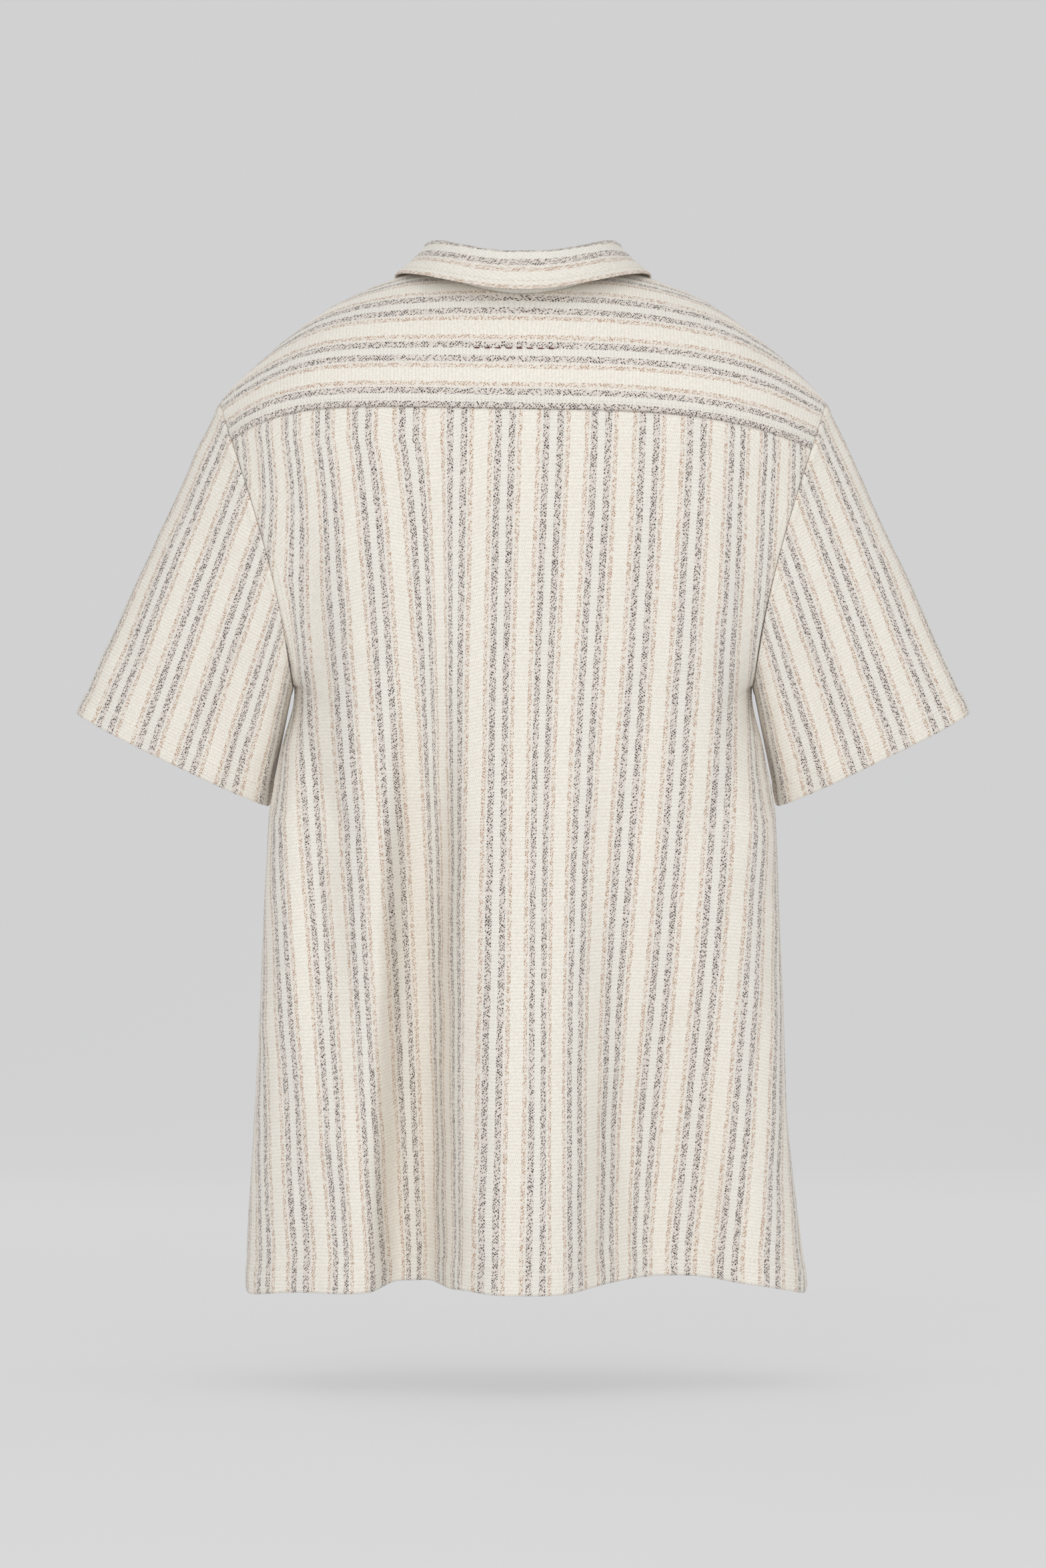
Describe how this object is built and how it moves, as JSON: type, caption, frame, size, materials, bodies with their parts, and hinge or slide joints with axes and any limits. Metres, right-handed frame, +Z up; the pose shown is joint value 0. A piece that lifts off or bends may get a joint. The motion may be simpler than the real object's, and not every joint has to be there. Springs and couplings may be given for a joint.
{
  "type": "short-sleeved striped shirt",
  "caption": "Short-sleeved button shirt of striped textured cloth with a turned collar and a yoke, shown filled out as if worn, empty inside.",
  "frame": {"origin": "middle of the neck at the height of the highest shoulder point, where a wearer's shoulders carry the shirt", "axes": "+X the wearer's left, +Y the back, +Z up towards the collar"},
  "size_m": [0.6478, 0.2389, 0.7575],
  "materials": {
    "cloth": "matte textured cotton knit with woven-in stripes",
    "button": "satin cream resin",
    "thread": "matte cream sewing thread",
    "accent": "dark red embroidery thread"
  },
  "bodies": {
    "root": {"back": "cloth", "yoke": "cloth", "front_left": "cloth", "front_right": "cloth", "sleeve_left": "cloth", "sleeve_right": "cloth", "collar": "cloth", "button_1": "button", "button_2": "button", "button_3": "button", "button_4": "button", "button_5": "button", "button_6": "button"}
  },
  "joints": []
}
